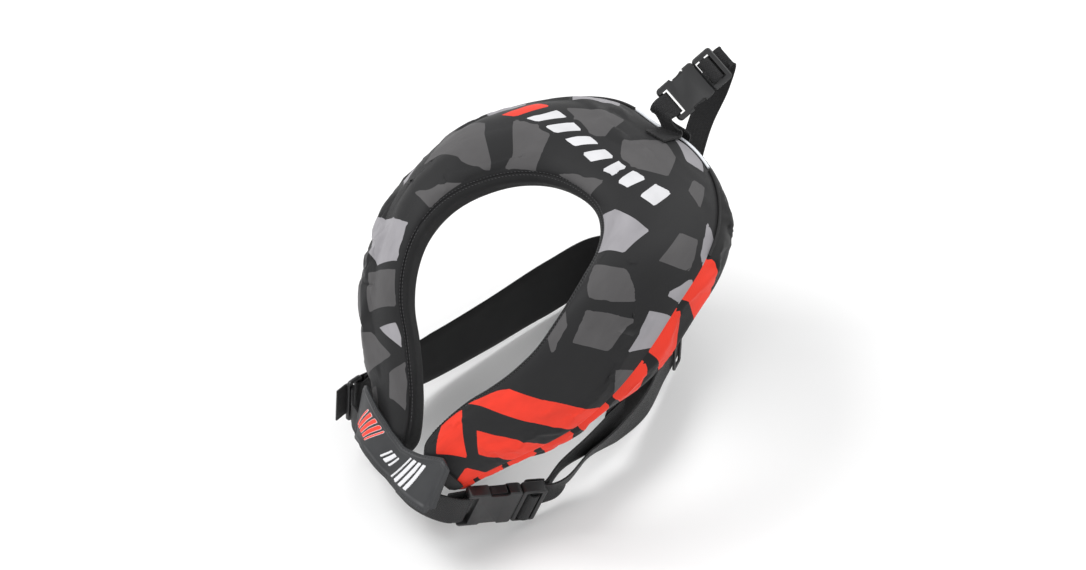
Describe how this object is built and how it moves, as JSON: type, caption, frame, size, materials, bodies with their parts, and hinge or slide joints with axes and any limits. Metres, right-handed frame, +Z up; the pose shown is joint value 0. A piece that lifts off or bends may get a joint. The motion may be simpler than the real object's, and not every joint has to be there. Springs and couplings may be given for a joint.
{
  "type": "inflatable life jacket collar",
  "caption": "Horseshoe inflatable life jacket: a padded collar with printed cover, waist belt, side-release buckles, back strap, manual inflator and oral tube.",
  "frame": {"origin": "middle of the neck opening", "axes": "+X to the wearer's left, -Y to the wearer's front, +Z up along the wearer's spine"},
  "size_m": [0.325, 0.4726, 0.3192],
  "materials": {
    "printed_cloth": "woven printed nylon, satin",
    "side_cloth": "woven printed nylon, satin",
    "black_cloth": "dull woven nylon",
    "reflective_tape": "reflective grey piping",
    "bladder_fabric": "coated nylon",
    "webbing": "ribbed polyester webbing",
    "buckle_plastic": "moulded acetal, satin",
    "patch_rubber": "embossed rubber, satin",
    "inflator_plastic": "moulded, satin",
    "steel": "zinc plated",
    "seal_rubber": "matt",
    "toggle_plastic": "moulded, glossy",
    "cord": "braided cord",
    "whistle_plastic": "moulded, glossy"
  },
  "bodies": {
    "jacket": {"cover_panel_left": "printed_cloth", "cover_panel_nape": "printed_cloth", "cover_panel_right": "printed_cloth", "side_panel_left": "side_cloth", "side_panel_nape": "side_cloth", "side_panel_right": "side_cloth", "back_lining_left": "black_cloth", "back_lining_nape": "black_cloth", "back_lining_right": "black_cloth", "neck_lining_left": "black_cloth", "neck_lining_nape": "black_cloth", "neck_lining_right": "black_cloth", "nape_piping": "reflective_tape", "bladder": "bladder_fabric", "front_socket": "buckle_plastic", "front_tab": "webbing", "belt_band": "black_cloth", "belt_webbing": "webbing", "belt_ring": "buckle_plastic", "ring_webbing": "webbing", "band_end_loop": "webbing", "front_patch": "patch_rubber", "nape_socket": "buckle_plastic", "nape_tab": "webbing", "back_strap": "webbing", "inflator_body": "inflator_plastic", "lever_pin": "steel", "pin_spring": "steel", "gas_cylinder": "steel", "cylinder_gasket": "seal_rubber", "manifold_nut": "steel", "pull_cord": "cord", "oral_tube": "seal_rubber", "tube_flange": "bladder_fabric", "oral_valve": "seal_rubber", "whistle": "whistle_plastic", "whistle_cord": "cord", "lobe_end_right": "black_cloth", "lobe_end_left": "black_cloth", "patch_pad_left": "black_cloth", "patch_pad_right": "black_cloth"},
    "front_plug_body": {"front_plug": "buckle_plastic"},
    "front_prong_a_body": {"front_prong_a": "buckle_plastic"},
    "front_prong_b_body": {"front_prong_b": "buckle_plastic"},
    "nape_plug_body": {"nape_plug": "buckle_plastic"},
    "nape_prong_a_body": {"nape_prong_a": "buckle_plastic"},
    "nape_prong_b_body": {"nape_prong_b": "buckle_plastic"},
    "slider_body": {"tail_slider": "buckle_plastic"},
    "knob_body": {"pull_knob": "toggle_plastic"},
    "lever_body": {"firing_lever": "steel"},
    "pin_body": {"piercing_pin": "steel"},
    "dust_cap_body": {"dust_cap": "seal_rubber"},
    "poppet_body": {"valve_poppet": "whistle_plastic"}
  },
  "joints": [
    {"name": "front_buckle_release", "type": "slide", "parent": "jacket", "child": "front_plug_body", "axis": [0.4805, 0.8371, -0.2617], "range_m": [0, 0.04], "deforming": ["belt_webbing", "front_prong_a", "front_prong_b"]},
    {"name": "front_prong_a_press", "type": "hinge", "parent": "front_plug_body", "child": "front_prong_a_body", "pos_m": [0.0865, -0.0644, -0.16194], "axis": [0.8314, -0.5297, -0.1677], "range_deg": [0, 7], "stiffness_Nm_per_rad": 0.05},
    {"name": "front_prong_b_press", "type": "hinge", "parent": "front_plug_body", "child": "front_prong_b_body", "pos_m": [0.07604, -0.06954, -0.19759], "axis": [-0.8314, 0.5297, 0.1677], "range_deg": [0, 7], "stiffness_Nm_per_rad": 0.05},
    {"name": "nape_buckle_release", "type": "slide", "parent": "jacket", "child": "nape_plug_body", "axis": [0.2802, 0.8407, 0.4634], "range_m": [0, 0.03], "deforming": ["back_strap", "nape_prong_a", "nape_prong_b"]},
    {"name": "nape_prong_a_press", "type": "hinge", "parent": "nape_plug_body", "child": "nape_prong_a_body", "pos_m": [0.00999, 0.2826, 0.09017], "axis": [0.455, -0.5414, 0.7071], "range_deg": [0, 7], "stiffness_Nm_per_rad": 0.05},
    {"name": "nape_prong_b_press", "type": "hinge", "parent": "nape_plug_body", "child": "nape_prong_b_body", "pos_m": [0.03218, 0.28293, 0.07615], "axis": [-0.455, 0.5414, -0.7071], "range_deg": [0, 7], "stiffness_Nm_per_rad": 0.05},
    {"name": "slider_adjust", "type": "slide", "parent": "jacket", "child": "slider_body", "axis": [0.3088, -0.9505, 0.0356], "range_m": [-0.008, 0.008]},
    {"name": "knob_pull", "type": "slide", "parent": "jacket", "child": "knob_body", "axis": [-0.25, -0.6, -0.76], "range_m": [0, 0.025], "deforming": ["pull_cord"]},
    {"name": "lever_swing", "type": "hinge", "parent": "jacket", "child": "lever_body", "pos_m": [-0.04777, -0.08563, -0.10784], "axis": [-0.063, -0.7863, 0.6146], "range_deg": [0, 61]},
    {"name": "pin_drive", "type": "slide", "parent": "jacket", "child": "pin_body", "axis": [-0.5431, 0.5437, 0.6399], "range_m": [0, 0.0042], "deforming": ["pin_spring"]},
    {"name": "dust_cap_lift", "type": "slide", "parent": "jacket", "child": "dust_cap_body", "axis": [-0.6061, -0.5049, -0.6146], "range_m": [0, 0.008]},
    {"name": "poppet_press", "type": "slide", "parent": "jacket", "child": "poppet_body", "axis": [0.6061, 0.5049, 0.6146], "range_m": [0, 0.0022], "stiffness_N_per_m": 60}
  ],
  "couplings": [
    {"joint": "lever_swing", "follows": "knob_pull", "rad_per_m": 41.9},
    {"joint": "pin_drive", "follows": "knob_pull", "ratio": 0.16}
  ]
}
